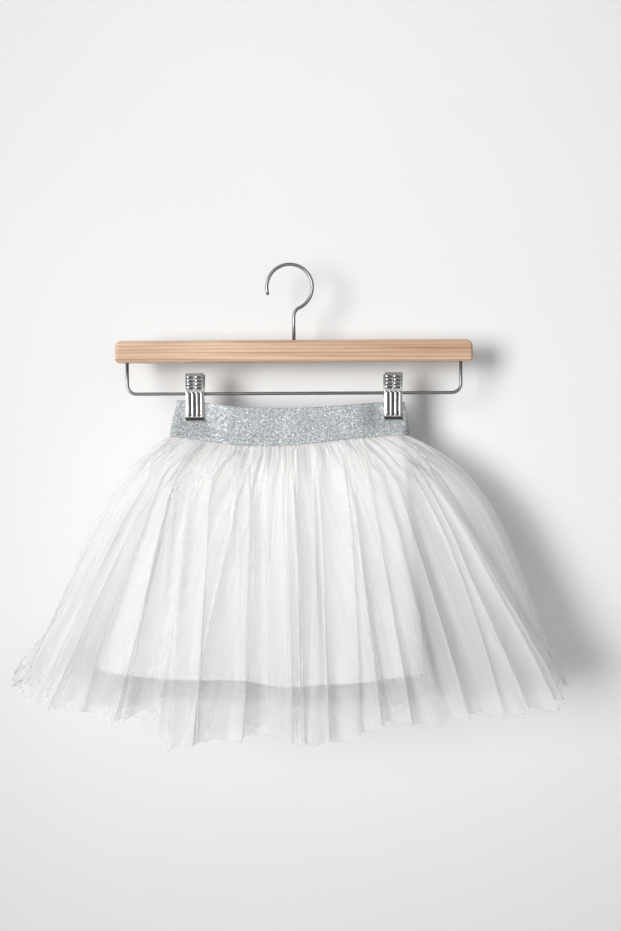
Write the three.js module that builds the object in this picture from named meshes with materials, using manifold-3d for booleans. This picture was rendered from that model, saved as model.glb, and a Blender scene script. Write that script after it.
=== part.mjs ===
// A child's tutu: three gathered tulle layers and a slip lining on a double waistband of glitter knit, clipped to a
// wooden hanger. Millimetres, +Z up, the front facing -Y. The origin is the inside of the hanger's hook above its
// stem, where a rod or a wall hook carries it, and y = 0 is the hanger's mid-plane.
import * as THREE from "three";
import { mergeVertices } from "three/addons/utils/BufferGeometryUtils.js";
import Module from "manifold-3d";

const GAP = 0.3; // between pieces that meet
const NESTED_GAP = 0.4; // between nested rings of cloth, whose flat facets take up some of it

// ---- The hanger ------------------------------------------------------------------------------------------------

const WIRE_RADIUS = 1.5;
const WIRE_SIDES = 10;
const HOOK = { bend: 21, centreX: -3.7, centreZ: -19.15, neck: 9, tip: 200 }; // tip: degrees round from the right
const BAR = { length: 328, height: 20.2, depth: 13, top: -68.3, topCorner: 6, footCorner: 3.2, edge: 2.4 };
const RAIL = { height: -117, halfSpan: 153.5, bend: 8.5 };
const SOCKET = { depth: 12, sides: 12 }; // the bores that the hook and the rail's legs stand in
const CLIP = {
  centres: { left: -91, right: 91 },
  width: 17,
  sheet: 1,
};
// The cheeks stand on the jaw's plate at root and reach past the rail's axis.
const CHEEK = { top: -111.5, foot: -122, reach: 2.3, rootTop: 4.9, rootFoot: 3.6 };
// A jaw's mid-sheet from the finger tab down to the curled lip; out is the distance from the hanger's mid-plane.
const JAW_PROFILE = [
  { out: 7.6, z: -99 },
  { out: 4.6, z: -113 },
  { out: 3.5, z: -123 },
  { out: 3.05, z: -127 },
  { out: 3.05, z: -137.6 },
  { out: 3.8, z: -140.4 },
  { out: 5, z: -142.2 },
];
const LOUVRES = { rows: 4, top: -101.4, pitch: 3, columns: [-3.9, 3.9], width: 6, height: 1.3, proud: 0.45 };
const RIBS = { centres: [-6.3, -2.1, 2.1, 6.3], width: 2.6, top: -124, foot: -138, proud: 0.6 };
const SPRING = { turns: 2.5, radius: 2.6, wire: 0.5, length: 8, sides: 5, perTurn: 8 };

// ---- The waistband ---------------------------------------------------------------------------------------------

const BAND_WALL = 1.8;
// The band's two edges, which dip towards the middle.
const BAND_LINE = [
  { x: -114.5, top: -122.4, foot: -155.4 },
  { x: -87, top: -125.6, foot: -159.2 },
  { x: -50, top: -130.4, foot: -163.8 },
  { x: -22, top: -131.4, foot: -164.7 },
  { x: 5, top: -131.5, foot: -163.3 },
  { x: 51, top: -129, foot: -158.7 },
  { x: 80, top: -126.6, foot: -156.2 },
  { x: 105, top: -126.2, foot: -155 },
];
const BAND_TOP = { left: -107, right: 101, depth: 7 }; // depth: from the mid-plane to the mid-wall, front and back
const BAND_FOOT = { left: -114.5, right: 105, depth: 10.4 };
const PINCH = { depth: 1.25, clearOf: 10, reach: 24, openFrom: 0.53, openBy: 0.85, footDepth: 7.8 };
const BAND_ROWS = [0, 0.53, 0.63, 0.74, 0.85, 1]; // shares of the band's height, from its top edge
const BAND_POINTS = 56;

// ---- The skirts ------------------------------------------------------------------------------------------------

const CLOTH_WALL = 1;
const HEM_STEP = 0.002; // the share of a loop between the two points that give its direction
const TUCK = 0.15; // the share of the band's height that each skirt stands up inside it
const TURN_STEP = 0.7; // each skirt turns outwards this much lower than the piece over it

// Shares of the drop from the waistband at which a layer has a ring of points.
const FINE_ROWS = [0, 0.07, 0.16, 0.29, 0.46, 0.7, 1];
const COARSE_ROWS = [0, 0.09, 0.24, 0.5, 1];

// The hem loops as seen from above, with how far each hem is above the outermost one's and the size of its folds.
const TULLE = [
  { left: -252, right: 246, front: 97, back: 38, rise: 0, folds: 1, perFold: 5, rows: FINE_ROWS },
  { left: -237, right: 231.5, front: 83, back: 30.2, rise: 3, folds: 0.9, perFold: 4, rows: COARSE_ROWS },
  { left: -220, right: 215, front: 69, back: 23.2, rise: 7, folds: 0.75, perFold: 4, rows: COARSE_ROWS },
];
const TULLE_NAMES = ["tulle_outer", "tulle_middle", "tulle_inner"];
const TULLE_POWER = 2.5; // 2 would be an ellipse
// The share of its width that a layer takes in a quick curve under the band; the rest is a straight cone.
const TULLE_SHOULDER = { left: 0.25, right: 0.43, power: 6.5 };
const TULLE_FRONT_HEM = [
  { x: -252, z: -377 },
  { x: -224, z: -390.5 },
  { x: -178, z: -395 },
  { x: -130, z: -397 },
  { x: -111, z: -394 },
  { x: -100, z: -411 },
  { x: -80, z: -412 },
  { x: -26, z: -411 },
  { x: 10, z: -413 },
  { x: 50, z: -410.5 },
  { x: 69, z: -404 },
  { x: 120, z: -400 },
  { x: 177, z: -397 },
  { x: 205, z: -393 },
  { x: 246, z: -379 },
];
const TULLE_BACK_HEM = [
  { x: -252, z: -377 },
  { x: -215, z: -399 },
  { x: -174, z: -406 },
  { x: -120, z: -405 },
  { x: -40, z: -410 },
  { x: 60, z: -409 },
  { x: 150, z: -403 },
  { x: 215, z: -395 },
  { x: 246, z: -379 },
];
// Folds from the left end to the right end: width is a fold's share of the run, depth is how far it stands out and in
// at the hem, and from is the share of the drop at which it begins.
const TULLE_FRONT_FOLDS = [
  { width: 30, depth: 4, from: 0.1 },
  { width: 32, depth: 6, from: 0 },
  { width: 26, depth: 5, from: 0.2 },
  { width: 36, depth: 8, from: 0 },
  { width: 38, depth: 9, from: 0.06 },
  { width: 28, depth: 6, from: 0 },
  { width: 24, depth: 5, from: 0.2 },
  { width: 40, depth: 10, from: 0 },
  { width: 36, depth: 9, from: 0.03 },
  { width: 25, depth: 6, from: 0.15 },
  { width: 31, depth: 8, from: 0 },
  { width: 26, depth: 6, from: 0.2 },
  { width: 46, depth: 10, from: 0 },
  { width: 27, depth: 6, from: 0.12 },
  { width: 35, depth: 8, from: 0 },
  { width: 33, depth: 7, from: 0.06 },
  { width: 28, depth: 5, from: 0.12 },
];
const TULLE_BACK_FOLDS = [
  { width: 34, depth: 4, from: 0.12 },
  { width: 44, depth: 4.5, from: 0 },
  { width: 36, depth: 4, from: 0.1 },
  { width: 50, depth: 5, from: 0 },
  { width: 38, depth: 4, from: 0.15 },
  { width: 46, depth: 5, from: 0.03 },
  { width: 36, depth: 4, from: 0 },
  { width: 52, depth: 5, from: 0.06 },
  { width: 40, depth: 4.5, from: 0 },
  { width: 48, depth: 5, from: 0.12 },
  { width: 38, depth: 4.5, from: 0 },
  { width: 34, depth: 4, from: 0.1 },
];

const LINING_ROWS = [0, 0.12, 0.35, 0.65, 1];
const LINING = { left: -181, right: 118, front: 44, back: 15, rise: 0, folds: 1, perFold: 6, rows: LINING_ROWS };
const LINING_POWER = 2.6;
const LINING_SHOULDER = { left: 0.12, right: 0.08, power: 5 };
const LINING_FRONT_HEM = [
  { x: -182, z: -365 },
  { x: -130, z: -371 },
  { x: -41, z: -374 },
  { x: -4, z: -379 },
  { x: 23, z: -377.5 },
  { x: 69, z: -374.7 },
  { x: 119, z: -371 },
];
const LINING_BACK_HEM = [
  { x: -182, z: -365 },
  { x: -90, z: -374 },
  { x: 40, z: -377 },
  { x: 119, z: -371 },
];
const LINING_FRONT_FOLDS = [
  { width: 50, depth: 1.5, from: 0.1 },
  { width: 62, depth: 3.5, from: 0.05 },
  { width: 90, depth: 3, from: 0.1 },
  { width: 74, depth: 3, from: 0.15 },
  { width: 60, depth: 1.5, from: 0.1 },
];
const LINING_BACK_FOLDS = [
  { width: 80, depth: 1.5, from: 0.1 },
  { width: 110, depth: 2, from: 0.1 },
  { width: 90, depth: 1.5, from: 0.1 },
];

// Points near the two round ends of each flattened ring, as shares of the way round.
const BAND_END_STEPS = [0.0016, 0.0032, 0.0048, 0.0085, 0.0125, 0.017, 0.0215, 0.027];
const TULLE_END_STEPS = [0.0035, 0.007, 0.0105, 0.014, 0.0185];
const LINING_END_STEPS = [0.0018, 0.0037, 0.0058, 0.0085, 0.012];

// ---- Helpers ---------------------------------------------------------------------------------------------------

const wasm = await Module();
wasm.setup();

/** A closed mesh geometry as a manifold-3d solid. */
function solid(geometry) {
  const bare = geometry.clone();
  bare.deleteAttribute("normal");
  bare.deleteAttribute("uv");
  const merged = mergeVertices(bare, 1e-4);
  return new wasm.Manifold(
    new wasm.Mesh({
      numProp: 3,
      vertProperties: new Float32Array(merged.attributes.position.array),
      triVerts: new Uint32Array(merged.index.array),
    }),
  );
}

/** A manifold-3d solid as a geometry. */
function geometryOf(body) {
  const mesh = body.getMesh();
  return new THREE.BufferGeometry()
    .setAttribute("position", new THREE.BufferAttribute(new Float32Array(mesh.vertProperties), 3))
    .setIndex(new THREE.BufferAttribute(new Uint32Array(mesh.triVerts), 1));
}

const mix = (a, b, t) => a + (b - a) * t;
const ease = (t) => {
  const held = THREE.MathUtils.clamp(t, 0, 1);
  return held * held * (3 - 2 * held);
};

/** A smooth line through a table's rows, read by x: each piece leaves a row along its neighbours' slope. */
function lineThrough(rows, value) {
  const last = rows.length - 1;
  const slope = (i) => {
    const before = rows[Math.max(0, i - 1)];
    const after = rows[Math.min(last, i + 1)];
    return (after[value] - before[value]) / (after.x - before.x);
  };
  return (x) => {
    const held = THREE.MathUtils.clamp(x, rows[0].x, rows[last].x);
    const i = Math.min(rows.filter((row) => row.x <= held).length - 1, last - 1);
    const step = rows[i + 1].x - rows[i].x;
    const t = (held - rows[i].x) / step;
    const rise = rows[i][value] + (rows[i + 1][value] - rows[i][value]) * ease(t);
    return rise + step * t * (1 - t) * (slope(i) * (1 - t) - slope(i + 1) * t);
  };
}

/** A polyline as a function of the share of its length. */
function walk(points) {
  const walked = [0];
  for (let i = 1; i < points.length; i++) {
    walked.push(walked[i - 1] + points[i].distanceTo(points[i - 1]));
  }
  return (share) => {
    const goal = share * walked.at(-1);
    const i = THREE.MathUtils.clamp(walked.findIndex((length) => length >= goal), 1, points.length - 1);
    return points[i - 1].clone().lerp(points[i], (goal - walked[i - 1]) / (walked[i] - walked[i - 1]));
  };
}

/** A loop seen from above as a function of the share of the way round: its front run from the left end to the right
 *  one, and then its back run home again. */
function loop(frontPoints, backPoints) {
  const front = walk(frontPoints);
  const back = walk(backPoints);
  return (share) => (share <= 0.5 ? front(2 * share) : back(2 - 2 * share));
}

/** A squared oval between its four sides, whose ends are half-way between its front and its back. */
function oval({ left, right, front, back }, power) {
  const STEPS = 240;
  const squared = (value) => Math.sign(value) * Math.abs(value) ** (2 / power);
  const run = (side) =>
    Array.from({ length: STEPS + 1 }, (_, i) => {
      const angle = Math.PI * (1 - i / STEPS);
      const x = (left + right) / 2 + ((right - left) / 2) * squared(Math.cos(angle));
      return new THREE.Vector2(x, (back - front) / 2 + (side * (front + back) * squared(Math.sin(angle))) / 2);
    });
  return loop(run(-1), run(1));
}

// ---- The waistband's form, which the skirts' tucks follow ------------------------------------------------------

const bandTop = lineThrough(BAND_LINE, "top");
const bandFoot = lineThrough(BAND_LINE, "foot");
const bandHeight = (x, down) => mix(bandTop(x), bandFoot(x), down);

/** The waistband's mid-wall at a share of its height, drawn in by a distance: a flat tube with round ends, nipped
 *  where the clips hold it. */
function bandLoop(down, inset) {
  const left = mix(BAND_TOP.left, BAND_FOOT.left, down) + inset;
  const right = mix(BAND_TOP.right, BAND_FOOT.right, down) - inset;
  const free = mix(BAND_TOP.depth, BAND_FOOT.depth, down);
  const opened = ease((down - PINCH.openFrom) / (PINCH.openBy - PINCH.openFrom));
  const nipped = mix(PINCH.depth, PINCH.footDepth, opened);
  const depthAt = (x) => {
    const inwards = Math.min(x - CLIP.centres.left, CLIP.centres.right - x);
    return mix(nipped, free, ease((inwards - PINCH.clearOf) / PINCH.reach)) - inset;
  };
  const STEPS = 100;
  const CAP_STEPS = 9;
  const cap = nipped - inset;
  const half = [];
  for (let i = 0; i <= CAP_STEPS; i++) {
    const angle = (Math.PI / 2) * (i / CAP_STEPS);
    half.push(new THREE.Vector2(left + cap * (1 - Math.cos(angle)), cap * Math.sin(angle)));
  }
  for (let i = 1; i < STEPS; i++) {
    const x = mix(left + cap, right - cap, i / STEPS);
    half.push(new THREE.Vector2(x, depthAt(x)));
  }
  for (let i = CAP_STEPS; i >= 0; i--) {
    const angle = (Math.PI / 2) * (i / CAP_STEPS);
    half.push(new THREE.Vector2(right - cap * (1 - Math.cos(angle)), cap * Math.sin(angle)));
  }
  return loop(half.map((p) => new THREE.Vector2(p.x, -p.y)), half);
}

// ---- Cloth -----------------------------------------------------------------------------------------------------

/** The folds of two tables with where each starts and ends, as shares of the way round. */
function foldSpans(frontRows, backRows) {
  return [frontRows, backRows.toReversed()].flatMap((rows, half) => {
    const total = rows.reduce((sum, row) => sum + row.width, 0);
    let walked = 0;
    return rows.map((row) => {
      const start = (half + walked / total) / 2;
      walked += row.width;
      return { ...row, start, end: (half + walked / total) / 2 };
    });
  });
}

/** How far the folds stand out: each is one smooth wave, which grows from where it begins, and the trough between two
 *  folds is as deep as the mean of their crests. */
function foldHeight(spans, share, down) {
  const found = spans.findIndex((each) => share < each.end);
  const i = found < 0 ? spans.length - 1 : found;
  const crest = ({ depth, from }) => depth * ease(0.04 + (0.96 * (down - from)) / (1 - from));
  const own = crest(spans[i]);
  const phase = (share - spans[i].start) / (spans[i].end - spans[i].start);
  const beside = crest(spans[(i + (phase < 0.5 ? -1 : 1) + spans.length) % spans.length]);
  return mix(-(own + beside) / 2, own, (1 - Math.cos(2 * Math.PI * phase)) / 2);
}

/** Points round a ring: the same number in each fold, and extra ones at the two ends. */
function ringShares(spans, perFold, endSteps) {
  const inFolds = spans.flatMap(({ start, end }) =>
    Array.from({ length: perFold }, (_, i) => mix(start, end, i / perFold)),
  );
  const nearEnds = endSteps.flatMap((step) => [step, 0.5 - step, 0.5 + step, 1 - step]);
  const reach = endSteps.at(-1) + 0.5 * (endSteps.at(-1) - endSteps.at(-2));
  const apart = inFolds.filter((share) => {
    const fromEnd = Math.min(share, Math.abs(share - 0.5), 1 - share);
    return fromEnd === 0 || fromEnd > reach;
  });
  return [...apart, ...nearEnds].sort((a, b) => a - b);
}

/** A closed ring of cloth from its mid-wall rings, top to foot, each with the same number of points: the wall is laid
 *  square to the cloth on both sides and closed with a rim at the top and one at the foot. */
function clothWall(rings, thickness) {
  const count = rings[0].length;
  const last = rings.length - 1;
  const at = (row, i) => rings[row][(i + count) % count];
  const outward = (row, i) => {
    const down = at(Math.min(row + 1, last), i).clone().sub(at(Math.max(row - 1, 0), i));
    const faces = [-1, 0].map((step) => {
      const along = at(row, i + step + 1).clone().sub(at(row, i + step));
      return down.clone().cross(along).normalize();
    });
    const middle = faces[0].clone().add(faces[1]).normalize();
    return middle.divideScalar(Math.max(0.6, middle.dot(faces[0])));
  };
  const sides = [0.5, -0.5].map((share) =>
    rings.map((ring, row) => ring.map((p, i) => p.clone().addScaledVector(outward(row, i), share * thickness))),
  );
  const index = (side, row, i) => (side * rings.length + row) * count + (i % count);
  const faces = [];
  const quad = (a, b, c, d) => faces.push(a, b, c, a, c, d);
  for (let i = 0; i < count; i++) {
    for (let row = 0; row < last; row++) {
      quad(index(0, row, i), index(0, row + 1, i), index(0, row + 1, i + 1), index(0, row, i + 1));
      quad(index(1, row, i), index(1, row, i + 1), index(1, row + 1, i + 1), index(1, row + 1, i));
    }
    quad(index(0, 0, i), index(0, 0, i + 1), index(1, 0, i + 1), index(1, 0, i));
    quad(index(0, last, i), index(1, last, i), index(1, last, i + 1), index(0, last, i + 1));
  }
  const positions = sides.flat(2).flatMap((p) => p.toArray());
  return new THREE.BufferGeometry()
    .setAttribute("position", new THREE.Float32BufferAttribute(positions, 3))
    .setIndex(faces);
}

/** The double waistband, open at its top and foot. */
function waistband() {
  const even = Array.from({ length: BAND_POINTS }, (_, i) => ({ start: i / BAND_POINTS, end: (i + 1) / BAND_POINTS }));
  const shares = ringShares(even, 1, BAND_END_STEPS);
  const rings = BAND_ROWS.map((down) => {
    const mid = bandLoop(down, 0);
    return shares.map((share) => {
      const p = mid(share);
      return new THREE.Vector3(p.x, p.y, bandHeight(p.x, down));
    });
  });
  return clothWall(rings, BAND_WALL);
}

/** A gathered skirt: a tuck inside the waistband, and from the band's foot a flared and folded drop to its hem. The
 *  order counts the skirts from the waistband inwards. */
function skirt(form, order, { power, shoulder, frontHem, backHem, spans, endSteps }) {
  const inset = (BAND_WALL + CLOTH_WALL) / 2 + NESTED_GAP + order * (CLOTH_WALL + NESTED_GAP);
  const turn = (order + 1) * TURN_STEP;
  const tuckTop = bandLoop(1 - TUCK, inset);
  const seam = bandLoop(1, inset);
  const hem = oval(form, power);
  const frontLine = lineThrough(frontHem, "z");
  const backLine = lineThrough(backHem, "z");
  const shares = ringShares(spans, form.perFold, endSteps);
  const tuck = shares.map((share) => {
    const p = tuckTop(share);
    return new THREE.Vector3(p.x, p.y, bandHeight(p.x, 1 - TUCK));
  });
  const drops = form.rows.map((down) =>
    shares.map((share) => {
      const top = seam(share);
      const foot = hem(share);
      const ahead = hem((share + HEM_STEP) % 1).sub(hem((share + 1 - HEM_STEP) % 1)).normalize();
      const acrossHem = (foot.x - form.left) / (form.right - form.left);
      const out = mix(down, 1 - (1 - down) ** shoulder.power, mix(shoulder.left, shoulder.right, acrossHem));
      const p = top.clone().lerp(foot, out);
      p.add(new THREE.Vector2(ahead.y, -ahead.x).multiplyScalar(form.folds * foldHeight(spans, share, down)));
      const footZ = (share <= 0.5 ? frontLine : backLine)(foot.x) + form.rise;
      return new THREE.Vector3(p.x, p.y, mix(bandFoot(top.x) - turn, footZ, down));
    }),
  );
  return clothWall([tuck, ...drops], CLOTH_WALL);
}

// ---- Hanger parts ----------------------------------------------------------------------------------------------

/** A wire bent in the plane y = 0, given as stations: a bend has several and a straight run only its two ends. */
class BentWire extends THREE.Curve {
  constructor(stations) {
    super();
    this.stations = stations;
  }
  getPointAt(share) {
    return this.stations[Math.round(share * (this.stations.length - 1))].point.clone();
  }
  getTangentAt(share) {
    return this.stations[Math.round(share * (this.stations.length - 1))].tangent.clone();
  }
}

/** A small coil round a line along X. */
class Coil extends THREE.Curve {
  constructor(x, z) {
    super();
    this.centre = new THREE.Vector3(x, 0, z);
  }
  getPoint(share) {
    const angle = 2 * Math.PI * SPRING.turns * share;
    const offset = new THREE.Vector3((share - 0.5) * SPRING.length, Math.cos(angle), Math.sin(angle));
    return offset.multiply(new THREE.Vector3(1, SPRING.radius, SPRING.radius)).add(this.centre);
  }
}

const station = (x, z, alongX, alongZ) => ({
  point: new THREE.Vector3(x, 0, z),
  tangent: new THREE.Vector3(alongX, 0, alongZ),
});

/** Stations of an arc between two angles in degrees, measured from +X towards +Z. */
function arc(x, z, radius, from, to, steps) {
  const turn = Math.sign(to - from);
  return Array.from({ length: steps + 1 }, (_, i) => {
    const angle = THREE.MathUtils.degToRad(mix(from, to, i / steps));
    const [cos, sin] = [Math.cos(angle), Math.sin(angle)];
    return station(x + radius * cos, z + radius * sin, -turn * sin, turn * cos);
  });
}

const polygon = (radius, sides) =>
  new THREE.Shape(
    Array.from({ length: sides }, (_, i) => {
      const angle = (2 * Math.PI * i) / sides;
      return new THREE.Vector2(radius * Math.cos(angle), radius * Math.sin(angle));
    }),
  );

const sweep = (path, steps, radius, sides) =>
  new THREE.ExtrudeGeometry(polygon(radius, sides), { steps, extrudePath: path });

const wire = (stations) => sweep(new BentWire(stations), stations.length - 1, WIRE_RADIUS, WIRE_SIDES);

/** A bore's body, its flats clear of the wire all round, centred at a point and along X or Z. */
function bore(x, z, length, alongX) {
  const radius = (WIRE_RADIUS + GAP) / Math.cos(Math.PI / SOCKET.sides);
  const body = new THREE.CylinderGeometry(radius, radius, length, SOCKET.sides);
  if (alongX) body.rotateZ(Math.PI / 2);
  else body.rotateX(Math.PI / 2);
  return solid(body.translate(x, 0, z));
}

/** The hook: up out of the bar, out round the neck and over the crown to its tip. */
function hook() {
  const { bend, centreX, centreZ, neck, tip } = HOOK;
  const aside = neck - centreX;
  const neckZ = centreZ - Math.sqrt((neck + bend) ** 2 - aside ** 2);
  const meet = THREE.MathUtils.radToDeg(Math.atan2(centreZ - neckZ, -aside)); // seen from the neck's centre
  return wire([
    station(0, BAR.top - SOCKET.depth, 0, 1),
    ...arc(neck, neckZ, neck, 180, meet, 5),
    ...arc(centreX, centreZ, bend, meet - 180, tip, 19).slice(1),
  ]);
}

/** The rail: down out of the bar, along under it, and up into it again. */
function rail() {
  const { height, halfSpan, bend } = RAIL;
  const socketTop = BAR.top - BAR.height + SOCKET.depth;
  return wire([
    station(-halfSpan, socketTop, 0, -1),
    ...arc(bend - halfSpan, height + bend, bend, 180, 270, 6),
    ...arc(halfSpan - bend, height + bend, bend, 270, 360, 6),
    station(halfSpan, socketTop, 0, 1),
  ]);
}

/** The wooden bar, with the bores that the wires stand in. */
function bar() {
  const { length, height, depth, top, topCorner, footCorner, edge } = BAR;
  const half = length / 2;
  const foot = top - height;
  const outline = new THREE.Shape()
    .moveTo(footCorner - half, foot)
    .lineTo(half - footCorner, foot)
    .absarc(half - footCorner, foot + footCorner, footCorner, -Math.PI / 2, 0, false)
    .absarc(half - topCorner, top - topCorner, topCorner, 0, Math.PI / 2, false)
    .absarc(topCorner - half, top - topCorner, topCorner, Math.PI / 2, Math.PI, false)
    .absarc(footCorner - half, foot + footCorner, footCorner, Math.PI, 1.5 * Math.PI, false);
  const board = new THREE.ExtrudeGeometry(outline, {
    depth: depth - 2 * edge,
    curveSegments: 3,
    bevelThickness: edge,
    bevelSize: edge,
    bevelOffset: -edge,
    bevelSegments: 2,
  });
  board.translate(0, 0, edge - depth / 2).rotateX(Math.PI / 2);
  const deep = 2 * (SOCKET.depth + GAP);
  return geometryOf(
    solid(board)
      .subtract(bore(0, top, deep, false))
      .subtract(bore(-RAIL.halfSpan, foot, deep, false))
      .subtract(bore(RAIL.halfSpan, foot, deep, false)),
  );
}

/** A box between two corners as a solid. */
function block(low, high) {
  const size = high.clone().sub(low);
  const middle = high.clone().add(low).multiplyScalar(0.5);
  return solid(new THREE.BoxGeometry(size.x, size.y, size.z).translate(middle.x, middle.y, middle.z));
}

/** A section drawn in Y and Z, carried along X and centred there. */
function extrudeAlongX(points, length) {
  const body = new THREE.ExtrudeGeometry(new THREE.Shape(points), { depth: length, bevelEnabled: false });
  const [x, y, z] = [new THREE.Vector3(1, 0, 0), new THREE.Vector3(0, 1, 0), new THREE.Vector3(0, 0, 1)];
  body.applyMatrix4(new THREE.Matrix4().makeBasis(y, z, x));
  return body.translate(-length / 2, 0, 0);
}

/** One jaw of a clip at x = 0, on the front (side -1) or the back (side 1): a bent sheet with two cheeks that the rail
 *  passes through. */
function jaw(side, cheekX) {
  const sheet = CLIP.sheet;
  const last = JAW_PROFILE.length - 1;
  const edge = (out) =>
    JAW_PROFILE.map((row, i) => {
      const before = JAW_PROFILE[Math.max(0, i - 1)];
      const after = JAW_PROFILE[Math.min(last, i + 1)];
      const along = new THREE.Vector2(after.out - before.out, after.z - before.z).normalize();
      return new THREE.Vector2(row.out - (along.y * out) / 2, row.z + (along.x * out) / 2);
    });
  let body = solid(extrudeAlongX([...edge(sheet), ...edge(-sheet).toReversed()], CLIP.width));
  const cheek = [
    new THREE.Vector2(-CHEEK.reach, CHEEK.top),
    new THREE.Vector2(-CHEEK.reach, CHEEK.foot),
    new THREE.Vector2(CHEEK.rootFoot, CHEEK.foot),
    new THREE.Vector2(CHEEK.rootTop, CHEEK.top),
  ];
  for (const end of [-1, 1]) {
    body = body.add(solid(extrudeAlongX(cheek, sheet).translate(end * cheekX, 0, 0)));
  }
  body = body.subtract(bore(0, RAIL.height, CLIP.width + 2, true));
  return side > 0 ? body : body.mirror([0, 1, 0]);
}

const FRONT_CHEEK = (CLIP.width - CLIP.sheet) / 2;
const BACK_CHEEK = FRONT_CHEEK - CLIP.sheet - GAP;

/** The front jaw, with the pressed louvres on its tab and the ribs over its grip. */
function frontJaw(x) {
  let body = jaw(-1, FRONT_CHEEK);
  const tab = JAW_PROFILE[0];
  const bend = JAW_PROFILE[1];
  const slope = (bend.out - tab.out) / (bend.z - tab.z);
  for (let row = 0; row < LOUVRES.rows; row++) {
    const z = LOUVRES.top - row * LOUVRES.pitch;
    const out = tab.out + slope * (z - tab.z) + CLIP.sheet / 2;
    for (const column of LOUVRES.columns) {
      const low = new THREE.Vector3(column - LOUVRES.width / 2, -out - LOUVRES.proud, z - LOUVRES.height / 2);
      const high = new THREE.Vector3(column + LOUVRES.width / 2, -out + CLIP.sheet / 2, z + LOUVRES.height / 2);
      body = body.add(block(low, high));
    }
  }
  const grip = Math.min(...JAW_PROFILE.map((row) => row.out)) + CLIP.sheet / 2;
  for (const centre of RIBS.centres) {
    const low = new THREE.Vector3(centre - RIBS.width / 2, -grip - RIBS.proud, RIBS.foot);
    const high = new THREE.Vector3(centre + RIBS.width / 2, -grip + CLIP.sheet / 2, RIBS.top);
    body = body.add(block(low, high));
  }
  return geometryOf(body.translate([x, 0, 0]));
}

const backJaw = (x) => geometryOf(jaw(1, BACK_CHEEK).translate([x, 0, 0]));

const spring = (x) =>
  sweep(new Coil(x, RAIL.height), SPRING.turns * SPRING.perTurn, SPRING.wire, SPRING.sides);

// ---- The part --------------------------------------------------------------------------------------------------

const COLOURS = {
  tulle: 0xf1efed,
  lining: 0xeae8e4,
  band: 0xb9bec1,
  wood: 0xcdb28e,
  steel: 0x6f7173,
  chrome: 0xb8babd,
};

const tutu = new THREE.Group();

function addPiece(name, geometry, color, metalness = 0) {
  const material = new THREE.MeshStandardMaterial({ color, roughness: metalness ? 0.3 : 0.8, metalness });
  const mesh = new THREE.Mesh(geometry, material);
  mesh.name = name;
  tutu.add(mesh);
}

const tulleCut = {
  power: TULLE_POWER,
  shoulder: TULLE_SHOULDER,
  frontHem: TULLE_FRONT_HEM,
  backHem: TULLE_BACK_HEM,
  spans: foldSpans(TULLE_FRONT_FOLDS, TULLE_BACK_FOLDS),
  endSteps: TULLE_END_STEPS,
};
const liningCut = {
  power: LINING_POWER,
  shoulder: LINING_SHOULDER,
  frontHem: LINING_FRONT_HEM,
  backHem: LINING_BACK_HEM,
  spans: foldSpans(LINING_FRONT_FOLDS, LINING_BACK_FOLDS),
  endSteps: LINING_END_STEPS,
};

addPiece("waistband", waistband(), COLOURS.band);
TULLE.forEach((form, order) => addPiece(TULLE_NAMES[order], skirt(form, order, tulleCut), COLOURS.tulle));
addPiece("lining", skirt(LINING, TULLE.length, liningCut), COLOURS.lining);
addPiece("hanger_hook", hook(), COLOURS.steel, 1);
addPiece("hanger_bar", bar(), COLOURS.wood);
addPiece("hanger_rail", rail(), COLOURS.steel, 1);
for (const [name, x] of Object.entries(CLIP.centres)) {
  addPiece(`clip_${name}_front_jaw`, frontJaw(x), COLOURS.chrome, 1);
  addPiece(`clip_${name}_back_jaw`, backJaw(x), COLOURS.chrome, 1);
  addPiece(`clip_${name}_spring`, spring(x), COLOURS.steel, 1);
}

export default tutu;
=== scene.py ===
"""A child's tulle tutu on a wooden clip hanger: the looks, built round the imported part. Metres, +Z up, front -Y."""

import math

import bpy
import numpy as np
from mathutils import Matrix, Vector


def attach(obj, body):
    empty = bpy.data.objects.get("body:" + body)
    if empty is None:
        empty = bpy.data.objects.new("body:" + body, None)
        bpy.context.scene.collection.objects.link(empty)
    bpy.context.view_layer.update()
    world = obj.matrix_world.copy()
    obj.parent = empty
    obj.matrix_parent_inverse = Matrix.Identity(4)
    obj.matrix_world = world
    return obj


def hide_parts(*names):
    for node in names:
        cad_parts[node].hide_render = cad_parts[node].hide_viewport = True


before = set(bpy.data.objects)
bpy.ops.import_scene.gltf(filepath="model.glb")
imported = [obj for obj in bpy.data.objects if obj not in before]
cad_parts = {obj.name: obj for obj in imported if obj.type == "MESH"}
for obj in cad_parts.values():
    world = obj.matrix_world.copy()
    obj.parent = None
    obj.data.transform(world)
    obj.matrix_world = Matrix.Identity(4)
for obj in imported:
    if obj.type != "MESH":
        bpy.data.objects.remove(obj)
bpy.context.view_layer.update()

MM = 0.001
RNG_SEED = 7
CLOTH_LENGTH = 262.0  # of a tulle layer, from its tuck inside the band to its hem
NET_SCALE = 285.0  # of the wave textures: about 1.1 mm from thread to thread

# ---- Meshes ----------------------------------------------------------------------------------------------------


def grid_faces(rows, cols, closed_cols, closed_rows=False):
    """Quads of a grid of points numbered row by row. Rows run down the cloth and columns run round it, so a face goes
    down, along and up again, which faces outwards where columns run from left to right across the front."""
    i = np.arange(cols if closed_cols else cols - 1)
    j = np.arange(rows if closed_rows else rows - 1)
    j, i = np.meshgrid(j, i, indexing="ij")
    below, beside = (j + 1) % rows, (i + 1) % cols
    quads = np.stack([j * cols + i, below * cols + i, below * cols + beside, j * cols + beside], axis=-1)
    return quads.reshape(-1, 4)


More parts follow.
